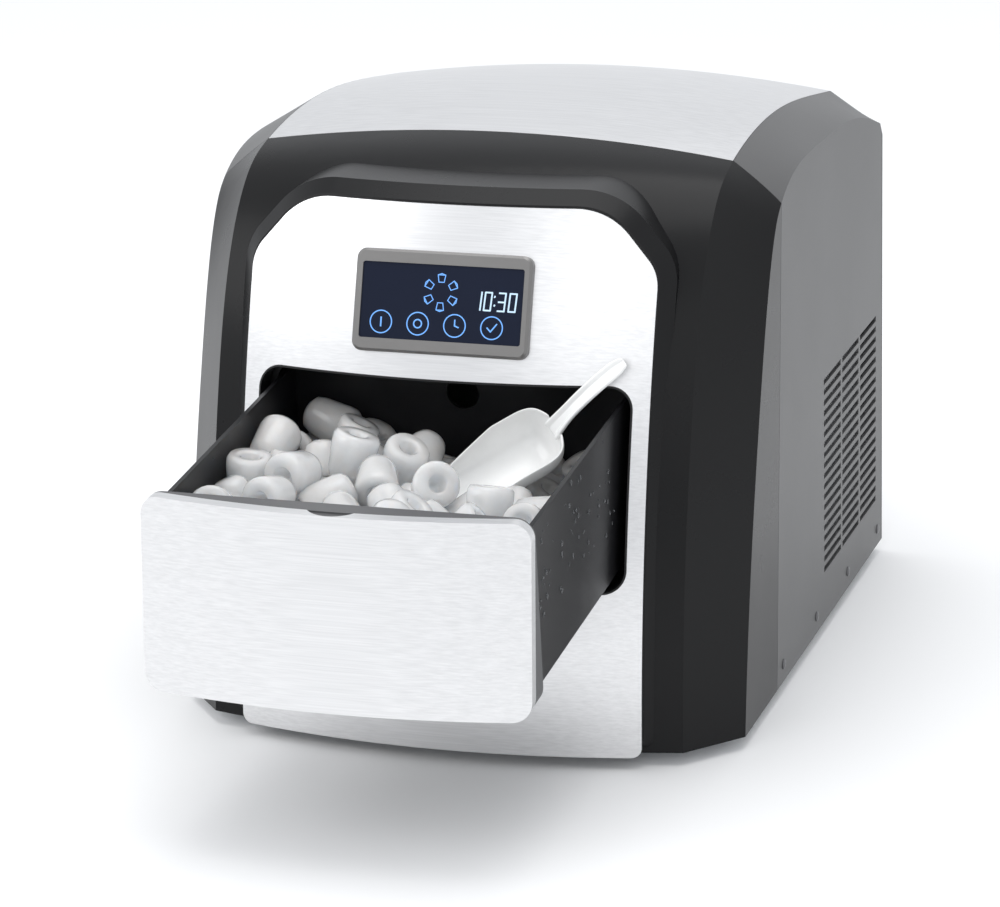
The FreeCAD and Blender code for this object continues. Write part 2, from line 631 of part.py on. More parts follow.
def freezing_unit():
    """The cold plate with its dipping fingers and tube, over the tipping water tray."""
    level = "dims.plate_level"
    plate = block("cold_plate_body", ("-dims.tray_half + 8", "dims.tray_half - 8"),
                  ("dims.tray_front + 6", "dims.tray_back - 12"), (level, level + " + 5"))
    keep(plate, "cold_plate")
    fingers = []
    for row in ("a", "b"):
        for i in range(6):
            fingers.append(rod("finger_%s%d" % (row, i), "z", "dims.finger_radius", "dims.finger_length",
                               ("%d * dims.finger_pitch / 2" % (2 * i - 5), "dims.finger_row_" + row,
                                level + " - dims.finger_length")))
    keep(group("cold_fingers", *fingers), "cold_fingers")

    z = size("plate_level") + 5 + 4
    a, b = size("finger_row_a"), size("finger_row_b")
    reach, radius = 70, (b - a) / 2
    points = [Vector(-reach, a, z), Vector(reach, a, z), Vector(reach + radius, a + radius, z),
              Vector(reach, b, z), Vector(-reach, b, z)]
    path = Part.Wire([Part.LineSegment(points[0], points[1]).toShape(),
                      Part.Arc(points[1], points[2], points[3]).toShape(),
                      Part.LineSegment(points[3], points[4]).toShape()])
    ring = Part.Wire([Part.makeCircle(4, points[0], Vector(1, 0, 0))])
    keep(feature("cold_tube", path.makePipeShell([ring], True, False)), "cold_tube")

    half, front, back = size("tray_half"), size("tray_front"), size("tray_back")
    low, high, wall = size("tray_low"), size("tray_high"), size("tray_wall")
    tray = Part.makeBox(2 * half, back - front, high - low, Vector(-half, front, low))
    room = Part.makeBox(2 * (half - wall), back - front - 2 * wall, high,
                        Vector(wall - half, front + wall, low + wall))
    tray = tray.cut(room)
    for side in (-1, 1):
        pin = Part.makeCylinder(3, 5.5, Vector(side * (half - 0.5), back - 4, high - 5),
                                Vector(side, 0, 0))
        tray = tray.fuse(pin)
    keep(feature("water_tray", tray), "water_tray")

    for side, name in ((-1, "tray_bracket_left"), (1, "tray_bracket_right")):
        inner = side * (half + 3)
        x0 = min(inner, inner + side * 3)
        arm = Part.makeBox(3, 34, 52, Vector(x0, back - 20, high - 30))
        foot = Part.makeBox(20, 34, 3, Vector(min(inner, inner + side * 20), back - 20, size("bay_top")))
        post = Part.makeBox(3, 34, high - size("bay_top"), Vector(x0, back - 20, size("bay_top")))
        hole = Part.makeCylinder(3.05, 40, Vector(side * (half - 5), back - 4, high - 5),
                                 Vector(side, 0, 0))
        keep(feature(name, arm.fuse(foot).fuse(post).removeSplitter().cut(hole)), name)
    bar = block("hanger_bar", ("-dims.tray_half - 3", "dims.tray_half + 3"),
                ("dims.tray_back - 12", "dims.tray_back - 2"), (level, level + " + 5"))
    keep(bar, "cold_plate_hanger")
    motor = rod("motor_can", "x", "12 mm", "24 mm",
                ("dims.tray_half + 6", "dims.tray_back - 4", "dims.tray_high - 5"))
    keep(motor, "tray_motor")


# --------------------------------------------------------------------------------- cooling unit

def cooling_unit():
    """Compressor, condenser, fan and drier, on the base pan behind the bay."""
    x, y = "dims.comp_x", "dims.comp_y"
    can = primitive("Cylinder", "comp_can", {"Radius": "dims.comp_radius", "Height": "dims.comp_tall"},
                    (x, y, "dims.comp_low"))
    rounded = doc.addObject("Part::Fillet", "comp_rounded")
    rounded.Base = can
    rounded.Edges = [(1, 24, 24), (3, 24, 24)]
    stub = rod("comp_stub", "z", "5 mm", "16 mm", (x, y + " + 20", "dims.comp_low + dims.comp_tall - 2"))
    keep(fuse("compressor", rounded, stub), "compressor")
    plate = block("comp_plate_body", (x + " - 58", x + " + 58"), (y + " - 52", y + " + 52"),
                  ("26", "dims.comp_low"))
    keep(plate, "compressor_plate")
    grommets = [rod("grommet_%d%d" % (i, j), "z", "8 mm", "24.5 - dims.base_level",
                    (x + " + %d" % i, y + " + %d" % j, "dims.base_level + 1.5"))
                for i in (-46, 46) for j in (-40, 40)]
    keep(group("compressor_grommets", *grommets), "compressor_grommets")

    fins = [Part.makeBox(24, 0.8, 144, Vector(140, 136 + 4.1 * i, 34)) for i in range(35)]
    tubes = [Part.makeCylinder(3, 150, Vector(x_tube, 133, 52 + 36 * i), Vector(0, 1, 0))
             for i in range(4) for x_tube in (147, 158)]
    ends = [Part.makeBox(24, 1.5, 170, Vector(140, y_end, 9.5)) for y_end in (132.5, 282)]
    block_fins = fins[0].multiFuse(fins[1:] + tubes + ends)
    keep(feature("condenser", block_fins), "condenser")

    fy, fz, fr = size("fan_y"), size("fan_z"), size("fan_radius")
    axis = Vector(1, 0, 0)
    shroud = Part.makeBox(3, 148, 152, Vector(132, fy - 74, fz - 76))
    duct = Part.makeCylinder(fr + 5, 18, Vector(117, fy, fz), axis)
    shroud = shroud.fuse(duct).cut(Part.makeCylinder(fr + 2.5, 40, Vector(110, fy, fz), axis))
    for turn in range(3):
        spoke = Part.makeBox(3, fr + 4, 8, Vector(114, fy, fz - 4))
        spoke.rotate(Vector(114, fy, fz), axis, 30 + 120 * turn)
        shroud = shroud.fuse(spoke.cut(Part.makeCylinder(12.1, 40, Vector(100, fy, fz), axis)))
    hub_ring = Part.makeCylinder(16, 3, Vector(114, fy, fz), axis)
    shroud = shroud.fuse(hub_ring.cut(Part.makeCylinder(12.1, 40, Vector(100, fy, fz), axis)))
    feet = [Part.makeBox(6, 10, fz - 76 - 9.5, Vector(130, fy + d, 9.5)) for d in (-60, 50)]
    keep(feature("fan_shroud", shroud.fuse(feet[0]).fuse(feet[1]).removeSplitter()), "fan_shroud")
    motor = Part.makeCylinder(12, 28, Vector(89, fy, fz), axis)
    motor = motor.fuse(Part.makeCylinder(2.5, 10, Vector(117, fy, fz), axis))
    keep(feature("fan_motor", motor), "fan_motor")

    hub = Part.makeCylinder(10, 10, Vector(119, fy, fz), axis)
    hub = hub.cut(Part.makeCylinder(2.55, 8.2, Vector(119, fy, fz), axis))
    blades = hub
    for turn in range(5):
        blade = Part.makeBox(1.6, fr - 8, 26, Vector(0, 7, -13))
        blade.rotate(Vector(), Vector(0, 1, 0), 18)
        blade.translate(Vector(124, fy, fz))
        blade.rotate(Vector(124, fy, fz), axis, 72 * turn)
        blades = blades.fuse(blade)
    trim = Part.makeCylinder(fr, 24, Vector(118, fy, fz), axis)
    keep(feature("fan_blades", blades.common(trim).removeSplitter()), "fan_blades")

    drier = rod("drier_body", "z", "9 mm", "90 mm", ("10", "250", "80"))
    keep(drier, "filter_drier")
    strap = block("drier_strap", ("-2", "22"), ("259", "262"), ("dims.base_level + 1.5", "150"))
    keep(strap, "drier_bracket")


def pipes():
    """Copper pipes between the compressor, condenser, drier and cold plate, in tangent bends."""
    def tube(name, points, radius, bend):
        edges, at = [], points[0]
        for i in range(1, len(points) - 1):
            before = (points[i - 1] - points[i]).normalize()
            after = (points[i + 1] - points[i]).normalize()
            a, b = points[i] + before * bend, points[i] + after * bend
            middle = points[i] + (before + after).normalize() * bend * (math.sqrt(2) - 1)
            edges.append(Part.LineSegment(at, a).toShape())
            edges.append(Part.Arc(a, middle, b).toShape())
            at = b
        edges.append(Part.LineSegment(at, points[-1]).toShape())
        start = (points[1] - points[0]).normalize()
        ring = Part.Wire([Part.makeCircle(radius, points[0], start)])
        keep(feature(name, Part.Wire(edges).makePipeShell([ring], True, False)), name)

    x, y = size("comp_x"), size("comp_y") + 20
    top = size("comp_low") + size("comp_tall") + 14
    z = size("plate_level") + 9
    a, b = size("finger_row_a"), size("finger_row_b")
    tube("suction_pipe", [Vector(x, y, top), Vector(x, y, 290), Vector(x, 160, 290), Vector(x, 160, z),
                          Vector(x, b, z), Vector(-70.2, b, z)], 3, 11)
    tube("liquid_pipe", [Vector(10, 250, 170.2), Vector(10, 250, 298), Vector(10, 135, 298),
                         Vector(-112, 135, 298), Vector(-112, a, 298), Vector(-112, a, z),
                         Vector(-70.2, a, z)], 2, 9)


front_bezel()
front_plate()
drawer_trim()
display()
cabinet_wrap()
side_screws()
base()
drawer_front()
drawer_box()
ice_heap()
scoop()
ice_bay()
guides()
water_tank()
drain_cap()
cord_gland()
freezing_unit()
cooling_unit()
pipes()

doc.recompute()
faults = [o.Name for o in doc.Objects if "Invalid" in o.State or "Error" in o.State]
faults += [o.Label for o in nodes if o.Shape.isNull() or not o.Shape.isValid() or not o.Shape.Solids]
if faults:
    raise SystemExit("failed objects: " + ", ".join(faults))

os.makedirs("parts", exist_ok=True)
for obj in nodes:
    obj.Shape.exportStep("parts/%s.step" % obj.Label)
    b = obj.Shape.optimalBoundingBox(False, False)
    print("%-22s solids %2d  volume %9.0f  x %7.1f %7.1f  y %7.1f %7.1f  z %7.1f %7.1f" % (
        obj.Label, len(obj.Shape.Solids), obj.Shape.Volume, b.XMin, b.XMax, b.YMin, b.YMax,
        b.ZMin, b.ZMax))
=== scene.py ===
import math
import random

import bmesh
import bpy
from mathutils import Matrix, Vector


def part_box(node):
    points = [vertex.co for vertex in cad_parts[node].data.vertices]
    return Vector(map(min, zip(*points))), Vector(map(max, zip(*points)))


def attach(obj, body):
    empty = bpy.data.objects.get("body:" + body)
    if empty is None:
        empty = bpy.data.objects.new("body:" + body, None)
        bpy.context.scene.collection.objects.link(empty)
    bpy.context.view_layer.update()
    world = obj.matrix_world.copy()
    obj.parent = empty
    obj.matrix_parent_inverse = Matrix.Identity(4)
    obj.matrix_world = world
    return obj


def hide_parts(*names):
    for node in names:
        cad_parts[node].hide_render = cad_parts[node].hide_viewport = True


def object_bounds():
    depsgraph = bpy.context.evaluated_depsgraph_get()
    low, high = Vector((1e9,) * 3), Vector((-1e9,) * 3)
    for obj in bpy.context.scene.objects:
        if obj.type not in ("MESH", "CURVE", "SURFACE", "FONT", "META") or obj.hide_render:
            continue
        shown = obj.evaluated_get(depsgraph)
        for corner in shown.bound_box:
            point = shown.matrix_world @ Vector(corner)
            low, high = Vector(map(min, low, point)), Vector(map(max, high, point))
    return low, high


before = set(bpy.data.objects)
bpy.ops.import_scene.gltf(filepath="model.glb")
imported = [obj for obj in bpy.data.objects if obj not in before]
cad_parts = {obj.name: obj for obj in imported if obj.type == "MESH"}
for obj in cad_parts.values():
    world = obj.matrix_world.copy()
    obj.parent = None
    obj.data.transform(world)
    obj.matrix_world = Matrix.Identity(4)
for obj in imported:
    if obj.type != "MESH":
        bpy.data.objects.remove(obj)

cad_low, cad_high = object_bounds()


# ---------------------------------------------------------------------------------- base and feet
# The base pan is a zinc-plated pressing with a turned-up rim, screwed inside the side panels.
# Four moulded rubber feet are pressed into it; each has a bead round its foot and a flat pad.

def link(node_tree, start, start_socket, end, end_socket):
    node_tree.links.new(start.outputs[start_socket], end.inputs[end_socket])


def grain_group():
    """Pits, smears and slow tone changes that any moulded, plated or painted surface has."""
    tree = bpy.data.node_groups.new("surface_grain", "ShaderNodeTree")
    face = tree.interface
    face.new_socket("Vector", in_out="INPUT", socket_type="NodeSocketVector")
    for name, value in (("Fine", 900.0), ("Smear", 18.0)):
        face.new_socket(name, in_out="INPUT", socket_type="NodeSocketFloat").default_value = value
    for name in ("Height", "Smears", "Tone"):
        face.new_socket(name, in_out="OUTPUT", socket_type="NodeSocketFloat")
    given, out = tree.nodes.new("NodeGroupInput"), tree.nodes.new("NodeGroupOutput")
    fine, smear = tree.nodes.new("ShaderNodeTexNoise"), tree.nodes.new("ShaderNodeTexNoise")
    fine.inputs["Detail"].default_value = 2
    smear.inputs["Detail"].default_value = 5
    smear.inputs["Roughness"].default_value = 0.65
    tone = tree.nodes.new("ShaderNodeMapRange")
    tone.inputs["To Min"].default_value, tone.inputs["To Max"].default_value = 0.9, 1.1
    for noise, scale in ((fine, "Fine"), (smear, "Smear")):
        link(tree, given, "Vector", noise, "Vector")
        link(tree, given, scale, noise, "Scale")
    link(tree, smear, "Fac", tone, "Value")
    link(tree, fine, "Fac", out, "Height")
    link(tree, smear, "Fac", out, "Smears")
    link(tree, tone, "Result", out, "Tone")
    return tree


def brushed_group():
    """Long fine scratches that run along one axis, with broader bands between them."""
    tree = bpy.data.node_groups.new("brushed_lines", "ShaderNodeTree")
    face = tree.interface
    face.new_socket("Vector", in_out="INPUT", socket_type="NodeSocketVector")
    for name in ("Height", "Smears", "Tone"):
        face.new_socket(name, in_out="OUTPUT", socket_type="NodeSocketFloat")
    given, out = tree.nodes.new("NodeGroupInput"), tree.nodes.new("NodeGroupOutput")
    lines, bands = tree.nodes.new("ShaderNodeTexNoise"), tree.nodes.new("ShaderNodeTexNoise")
    lines.inputs["Scale"].default_value, lines.inputs["Detail"].default_value = 1.0, 3
    bands.inputs["Scale"].default_value, bands.inputs["Detail"].default_value = 0.16, 4
    tone = tree.nodes.new("ShaderNodeMapRange")
    tone.inputs["To Min"].default_value, tone.inputs["To Max"].default_value = 0.80, 1.08
    link(tree, given, "Vector", lines, "Vector")
    link(tree, given, "Vector", bands, "Vector")
    link(tree, lines, "Fac", tone, "Value")
    link(tree, lines, "Fac", out, "Height")
    link(tree, bands, "Fac", out, "Smears")
    link(tree, tone, "Result", out, "Tone")
    return tree


GRAIN, BRUSHED = grain_group(), brushed_group()


def finish(name, colour, rough, spread=0.08, depth=0.00003, fine=900.0, smear=18.0, brush=None, **fixed):
    """A surface finish: colour with slow tone changes, uneven gloss and a fine relief."""
    made = bpy.data.materials.new(name)
    made.use_nodes = True
    tree = made.node_tree
    shader = tree.nodes["Principled BSDF"]
    for socket, value in fixed.items():
        shader.inputs[socket.replace("_", " ")].default_value = value
    place = tree.nodes.new("ShaderNodeTexCoord")
    effect = tree.nodes.new("ShaderNodeGroup")
    effect.node_tree = BRUSHED if brush else GRAIN
    if brush:
        stretch = tree.nodes.new("ShaderNodeMapping")
        stretch.inputs["Scale"].default_value = brush
        link(tree, place, "Object", stretch, "Vector")
        link(tree, stretch, "Vector", effect, "Vector")
    else:
        link(tree, place, "Object", effect, "Vector")
        effect.inputs["Fine"].default_value, effect.inputs["Smear"].default_value = fine, smear
    tint = tree.nodes.new("ShaderNodeVectorMath")
    tint.operation = "SCALE"
    tint.inputs[0].default_value = colour
    link(tree, effect, "Tone", tint, "Scale")
    link(tree, tint, "Vector", shader, "Base Color")
    gloss = tree.nodes.new("ShaderNodeMapRange")
    gloss.inputs["To Min"].default_value = rough - spread
    gloss.inputs["To Max"].default_value = rough + spread
    link(tree, effect, "Smears", gloss, "Value")
    link(tree, gloss, "Result", shader, "Roughness")
    bump = tree.nodes.new("ShaderNodeBump")
    bump.inputs["Distance"].default_value = depth
    link(tree, effect, "Height", bump, "Height")
    link(tree, bump, "Normal", shader, "Normal")
    return made


def give(material, *names):
    """The CAD nodes keep their shape and take this finish."""
    for name in names:
        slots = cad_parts[name].data.materials
        slots.clear()
        slots.append(material)


def piece(name, bm, material, body, replaced=()):
    """A finished mesh as an object of its own that rides on a body."""
    mesh = bpy.data.meshes.new(name)
    bm.to_mesh(mesh)
    bm.free()
    mesh.materials.append(material)
    for polygon in mesh.polygons:
        polygon.use_smooth = True
    made = bpy.data.objects.new(name, mesh)
    bpy.context.scene.collection.objects.link(made)
    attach(made, body)
    if replaced:
        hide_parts(*replaced)
    return made


def crease(bm, degrees):
    """Edges sharper than the angle stay crisp under smooth shading."""
    for edge in bm.edges:
        edge.smooth = len(edge.link_faces) != 2 or edge.calc_face_angle(0) < math.radians(degrees)


zinc = finish("zinc_plated_steel", (0.6, 0.62, 0.64), 0.42, 0.12, smear=60, Metallic=0.9)
rubber = finish("moulded_rubber", (0.035, 0.035, 0.036), 0.7, 0.08, 0.00008, 1500)
give(zinc, "base_pan")


def turned(profile, place, steps=40):
    """A turned piece: a profile of (radius, height) pairs spun round an upright line."""
    bm = bmesh.new()
    ring = [bm.verts.new((radius, 0, height)) for radius, height in profile]
    edges = [bm.edges.new(pair) for pair in zip(ring, ring[1:])]
    bmesh.ops.spin(bm, geom=ring + edges, axis=(0, 0, 1), cent=(0, 0, 0), steps=steps,
                   angle=math.tau, use_merge=True)
    bmesh.ops.remove_doubles(bm, verts=bm.verts, dist=1e-6)
    bmesh.ops.recalc_face_normals(bm, faces=bm.faces)
    bmesh.ops.transform(bm, matrix=place, verts=bm.verts)
    crease(bm, 40)
    return bm


for foot in ("foot_front_left", "foot_front_right", "foot_rear_left", "foot_rear_right"):
    low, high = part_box(foot)
    tall = high.z - low.z
    centre = Matrix.Translation(((low.x + high.x) / 2, (low.y + high.y) / 2, low.z))
    outline = [(0, 0), (0.0105, 0), (0.0118, 0.0008), (0.0121, 0.002), (0.0115, 0.003), (0.0119, 0.0042),
               (0.0136, 0.0066), (0.0138, tall), (0, tall)]
    piece(foot + "_pad", turned(outline, centre), rubber, "cabinet", (foot,))


# ------------------------------------------------------------------- cooling unit behind the bay
# A welded black compressor on rubber bushes, a finned aluminium condenser with its fan, and the
# copper drier and pipes. It stands on the base pan and shows only through the louvres.

black_enamel = finish("black_enamel", (0.015, 0.015, 0.016), 0.3, 0.08, smear=40)
black_fan = finish("black_fan_moulding", (0.03, 0.03, 0.032), 0.45, 0.06)
aluminium = finish("plain_aluminium", (0.76, 0.77, 0.78), 0.36, 0.1, smear=70, Metallic=1.0)
copper = finish("drawn_copper", (0.72, 0.36, 0.22), 0.32, 0.12, smear=90, Metallic=1.0)
give(black_enamel, "compressor", "fan_motor")
give(black_fan, "fan_shroud", "fan_blades", "tray_motor", "water_pump", "drain_cap")
give(aluminium, "condenser", "cold_plate", "cold_fingers")
give(copper, "suction_pipe", "liquid_pipe", "cold_tube", "filter_drier")
give(zinc, "compressor_plate", "drier_bracket", "tray_bracket_left", "tray_bracket_right")
give(rubber, "compressor_grommets", "tank_feet", "cord_gland")


# --------------------------------------------------------------- water tank, ice bay, water tray
# Grey moulded liners: the tank stands on the pan, the bay with its two white grooved rails
# stands over it, and the white tipping tray hangs between two brackets on top of the bay.

liner = finish("grey_liner_moulding", (0.1, 0.1, 0.105), 0.5, 0.06, 0.00005, 700)
white = finish("white_gloss_moulding", (0.86, 0.86, 0.85), 0.24, 0.05, 0.00001, 500, 30, Coat_Weight=0.3)
give(liner, "water_tank", "ice_bay", "drain_tube")
give(white, "guide_left", "guide_right", "water_tray", "cold_plate_hanger",
     "runner_left", "runner_right")


# ------------------------------------------------------------------------ steel top, sides, rear
# The crowned top is one bright steel sheet brushed across its width. The folded side panels and
# the rear panel are satin grey enamelled steel with pressed louvres, held by pan-head screws.

steel_top = finish("brushed_steel_top", (0.76, 0.76, 0.765), 0.36, 0.05, 0.000012,
                   brush=(6, 900, 900), Metallic=1.0)
enamel = finish("satin_grey_enamel", (0.10, 0.10, 0.101), 0.42, 0.05, 0.00003, 1300, 12,
                Specular_IOR_Level=0.35)
give(steel_top, "top_panel")
give(enamel, "side_panel_left", "side_panel_right", "rear_panel")


def cross_head(place, radius, tall):
    """A pan-head screw with a cross recess, standing on its own foot."""
    bm = turned([(0.0012, -0.004), (0.0012, 0), (radius, 0), (radius, tall * 0.45),
                 (radius * 0.8, tall * 0.85), (radius * 0.4, tall), (0, tall)], Matrix.Identity(4), 24)
    for turn in (0, math.pi / 2):
        slot = bmesh.ops.create_cube(bm, size=1)["verts"]
        bmesh.ops.scale(bm, vec=(radius * 1.1, radius * 0.22, tall * 0.06), verts=slot)
        bmesh.ops.translate(bm, vec=(0, 0, tall * 0.99), verts=slot)
        bmesh.ops.rotate(bm, matrix=Matrix.Rotation(turn, 3, "Z"), verts=slot)
    bmesh.ops.transform(bm, matrix=place, verts=bm.verts)
    return bm


screw_zinc = finish("screw_zinc", (0.16, 0.16, 0.165), 0.35, 0.1, smear=200, Metallic=0.9)
head_radius, head_tall, heads_in_row = 0.0032, 0.0012, 4
for screws, side in (("screws_left", -1), ("screws_right", 1)):
    low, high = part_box(screws)
    heads = bmesh.new()
    for along in range(heads_in_row):
        reach = low.y + head_radius + along * (high.y - low.y - 2 * head_radius) / (heads_in_row - 1)
        foot_x = high.x - head_tall if side > 0 else low.x + head_tall
        place = Matrix.Translation((foot_x, reach, (low.z + high.z) / 2))
        one = cross_head(place @ Matrix.Rotation(side * math.pi / 2, 4, "Y"), head_radius, head_tall)
        shape = bpy.data.meshes.new("screw")
        one.to_mesh(shape)
        one.free()
        heads.from_mesh(shape)
        bpy.data.meshes.remove(shape)
    crease(heads, 40)
    piece(screws + "_heads", heads, screw_zinc, "cabinet", (screws,))


# ---------------------------------------------------------------------- front moulding and plate
# The front is one satin black moulding with a raised, chamfered frame. The bowed face plate is a
# bright steel sheet brushed across its width and held behind the frame; the mouth has a liner.

black = finish("satin_black_moulding", (0.009, 0.009, 0.0095), 0.28, 0.04, 0.00002, 1500, 9,
               Specular_IOR_Level=0.16)
black_trim = finish("black_mouth_liner", (0.012, 0.012, 0.0125), 0.35, 0.05, Specular_IOR_Level=0.25)
steel = finish("brushed_steel_front", (0.78, 0.78, 0.785), 0.31, 0.04, 0.00001,
               brush=(5, 1000, 1000), Metallic=1.0)
give(black, "front_bezel")
give(black_trim, "drawer_trim")
give(steel, "front_plate")


# --------------------------------------------------------------------------------------- display
# A pewter surround clips into the plate and holds a dark glass. Behind it are the lamp module
# and the board. The lit marks are four ringed touch keys, six ice pieces in a ring and a clock.

pewter = finish("pewter_moulding", (0.21, 0.205, 0.2), 0.36, 0.05, 0.00002, 1100, 25, Metallic=0.55)
board = finish("solder_masked_board", (0.03, 0.2, 0.08), 0.35, 0.1, 0.00004, 400)
navy_glass = finish("dark_navy_glass", (0.010, 0.014, 0.030), 0.12, 0.04, 0.000002, 200, 12,
                    Specular_IOR_Level=0.12)
give(pewter, "display_surround")
give(navy_glass, "display_window")
give(black_fan, "display_module", "board_chips")
give(board, "control_board")

window_low, window_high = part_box("display_window")
glass_tall, glass_thick = 0.046, 0.0021
lean = math.asin((window_high.y - window_low.y - glass_thick) / glass_tall)
middle = (window_low + window_high) / 2
glass_face = Matrix.Translation(middle) @ Matrix.Rotation(math.pi / 2 - lean, 4, "X")
glass_face = glass_face @ Matrix.Translation((0, 0, glass_thick / 2 + 0.00008))


def stroke(bm, start, end, wide):
    """A thin flat bar between two points on the glass."""
    a, b = Vector((*start, 0)), Vector((*end, 0))
    bar = bmesh.ops.create_grid(bm, x_segments=1, y_segments=1, size=0.5)["verts"]
    bmesh.ops.scale(bm, vec=((b - a).length + wide * 0.6, wide, 1), verts=bar)
    turn = Matrix.Rotation(math.atan2(b.y - a.y, b.x - a.x), 4, "Z")
    bmesh.ops.transform(bm, matrix=Matrix.Translation((a + b) / 2) @ turn, verts=bar)


def ring_mark(bm, centre, radius, wide, segments=40):
    """A flat ring on the glass."""
    disc = bmesh.ops.create_circle(bm, cap_ends=True, radius=radius, segments=segments)["verts"]
    bmesh.ops.translate(bm, vec=(*centre, 0), verts=disc)
    face = disc[0].link_faces[0]
    bmesh.ops.inset_region(bm, faces=[face], thickness=wide, use_even_offset=True, use_boundary=True)
    bmesh.ops.delete(bm, geom=[face], context="FACES")


mm = 0.001
marks = bmesh.new()
key_level, key_radius, thin = -12.6 * mm, 6.9 * mm, 0.55 * mm
keys = [-36.2 * mm, -13.7 * mm, 8.8 * mm, 31.3 * mm]
for key in keys:
    ring_mark(marks, (key, key_level), key_radius, 0.7 * mm)
stroke(marks, (keys[0], key_level - 2.6 * mm), (keys[0], key_level + 2.6 * mm), 0.9 * mm)
ring_mark(marks, (keys[1], key_level), 2.8 * mm, 0.8 * mm, 24)
stroke(marks, (keys[2], key_level), (keys[2], key_level + 3.4 * mm), 0.8 * mm)
stroke(marks, (keys[2], key_level), (keys[2] + 2.4 * mm, key_level - 0.9 * mm), 0.8 * mm)
stroke(marks, (keys[3] - 2.8 * mm, key_level), (keys[3] - 0.6 * mm, key_level - 2.2 * mm), 0.8 * mm)
stroke(marks, (keys[3] - 0.6 * mm, key_level - 2.2 * mm), (keys[3] + 3 * mm, key_level + 2.4 * mm),
       0.8 * mm)
for turn in range(6):
    spot = Matrix.Translation((-0.8 * mm, 6.2 * mm, 0)) @ Matrix.Rotation(turn * math.tau / 6, 4, "Z")
    cup = [(-1.6, 6), (1.6, 6), (2.3, 10.2), (-2.3, 10.2)]
    corners = [(spot @ Vector((x * mm, y * mm, 0))).xy for x, y in cup]
    for start, end in zip(corners, corners[1:] + corners[:1]):
        stroke(marks, start, end, thin)
    rim = [(spot @ Vector((x * mm, y * mm, 0))).xy for x, y in ((-2.3, 10.2), (0, 11), (2.3, 10.2))]
    stroke(marks, rim[0], rim[1], thin)
    stroke(marks, rim[1], rim[2], thin)
clock = bmesh.new()
SEGMENTS = {"0": "abcdef", "1": "bc", "3": "abgcd"}
BARS = {"a": ((0, 2), (1, 2)), "b": ((1, 2), (1, 1)), "c": ((1, 1), (1, 0)), "d": ((0, 0), (1, 0)),
        "e": ((0, 1), (0, 0)), "f": ((0, 2), (0, 1)), "g": ((0, 1), (1, 1))}
for digit, left in zip("1030", (19.5, 25.7, 34.0, 40.6)):
    for bar in SEGMENTS[digit]:
        ends = [((left + 4 * x + 0.35 * y) * mm, (-2.6 + 5.2 * y) * mm) for x, y in BARS[bar]]
        stroke(clock, *ends, 0.95 * mm)
for dot in (0.2, 5.2):
    stroke(clock, (31.9 * mm, dot * mm), (32.2 * mm, (dot + 0.6) * mm), 0.9 * mm)
for flat in (marks, clock):
    bmesh.ops.transform(flat, matrix=glass_face, verts=flat.verts)
lit = finish("blue_white_light", (0.02, 0.04, 0.08), 0.4, 0.02, Emission_Color=(0.19, 0.45, 1.0, 1.0),
             Emission_Strength=1.15, Specular_IOR_Level=0.0)
clock_lit = finish("white_light", (0.05, 0.06, 0.08), 0.4, 0.02, Emission_Color=(0.62, 0.82, 1.0, 1.0),
                   Emission_Strength=1.1, Specular_IOR_Level=0.0)
piece("display_marks", marks, lit, "cabinet")
piece("display_clock", clock, clock_lit, "cabinet")


# ---------------------------------------------------------------------------------------- drawer
# The drawer is a black moulded tub on two white runners, wet with meltwater. Its front is a dark
# grey moulded rim with a finger notch, and a bowed, brushed steel skin clipped over it.

steel_skin = finish("brushed_steel_drawer", (0.74, 0.74, 0.745), 0.33, 0.04, 0.00001,
                    brush=(5, 1000, 1000), Metallic=1.0)
rim_grey = finish("dark_grey_rim", (0.075, 0.075, 0.078), 0.4, 0.05, 0.00003, 1200)
wet_black = finish("wet_black_tub", (0.009, 0.009, 0.01), 0.32, 0.06, 0.00006, 1100, 14,
                   Specular_IOR_Level=0.2)
give(steel_skin, "drawer_front_skin")
give(rim_grey, "drawer_front_carrier")
give(wet_black, "drawer_box")

tub_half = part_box("drawer_box")[1].x
slope = math.radians(4.5)
tub = Matrix.Translation((0, -0.286, 0.1018)) @ Matrix.Rotation(slope, 4, "X")
tub_front, tub_back, tub_tall, tub_wall = 0.017, 0.240, 0.094, 0.0025

random.seed(11)
drops = bmesh.new()
bead_count = 150
for bead_number in range(bead_count):
    size = random.uniform(0.0006, 0.0016)
    across = random.uniform(tub_front + 0.01, tub_back - 0.06)
    up = random.uniform(0.03, tub_tall - 0.004)
    side = random.choice((-1, 1, 1))
    inside = random.random() < 0.4
    wall_x = side * (tub_half - (tub_wall if inside else 0))
    bead = bmesh.ops.create_icosphere(drops, subdivisions=2, radius=size)["verts"]
    bmesh.ops.scale(drops, vec=(0.45, 1, random.uniform(1, 1.5)), verts=bead)
    if inside:
        side = -side
    place = Matrix.Translation((wall_x + side * size * 0.1, across, up))
    bmesh.ops.transform(drops, matrix=tub @ place, verts=bead)
water = finish("water_beads", (0.5, 0.52, 0.54), 0.06, 0.03, Transmission_Weight=0.9, IOR=1.33)
piece("meltwater_beads", drops, water, "drawer")


# ------------------------------------------------------------------------------------------- ice
# The drawer is heaped with ice thimbles: cloudy, slightly tapered cups about 28 mm across that
# froze round the cold fingers, each with a round bore at its wide end. They lie as they fell.

